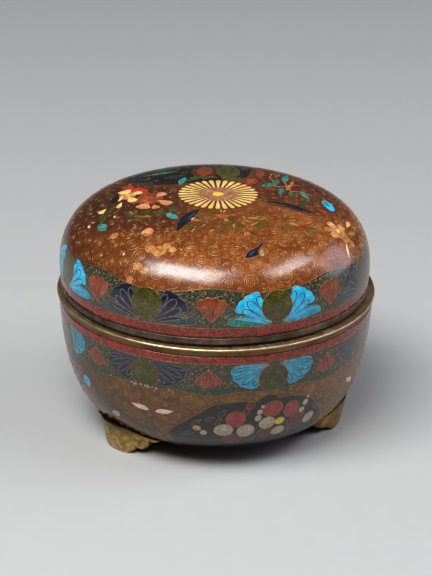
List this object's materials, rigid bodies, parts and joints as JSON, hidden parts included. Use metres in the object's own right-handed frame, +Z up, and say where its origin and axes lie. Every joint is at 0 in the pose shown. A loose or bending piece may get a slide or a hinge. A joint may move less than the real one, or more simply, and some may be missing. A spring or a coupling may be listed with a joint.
{
  "type": "covered cloisonne enamel box",
  "caption": "Round covered box of enamelled copper with a brass-mounted bowl on cusped brass feet and a domed lift-off lid, decorated with wirework scrolls, blossoms and a flower medallion.",
  "frame": {"origin": "centre of the box on the surface that its feet stand on", "axes": "+Z up out of the lid, -Y towards the front, +X to the right seen from the front"},
  "size_m": [0.1, 0.1, 0.0758],
  "materials": {
    "bowl_enamel": "polished opaque cloisonne enamel in brown, red, green, navy and turquoise cells between fine brass wires, worn and pitted",
    "lid_enamel": "polished opaque cloisonne enamel in russet brown with brass scroll wires, coloured leaves and blossoms, a cream flower medallion, worn and pitted",
    "mount_brass": "worn satin brass with brown tarnish in the corners",
    "rim_bronze": "dull dark bronze-brown tarnished brass, rubbed along its edge",
    "foot_brass": "cast brass, rubbed golden with green-brown patina towards the upper corners"
  },
  "bodies": {
    "root": {"bowl": "bowl_enamel", "bowl_rim": "mount_brass", "lid": "lid_enamel", "lid_rim": "rim_bronze", "foot_1": "foot_brass", "foot_2": "foot_brass", "foot_3": "foot_brass"}
  },
  "joints": []
}
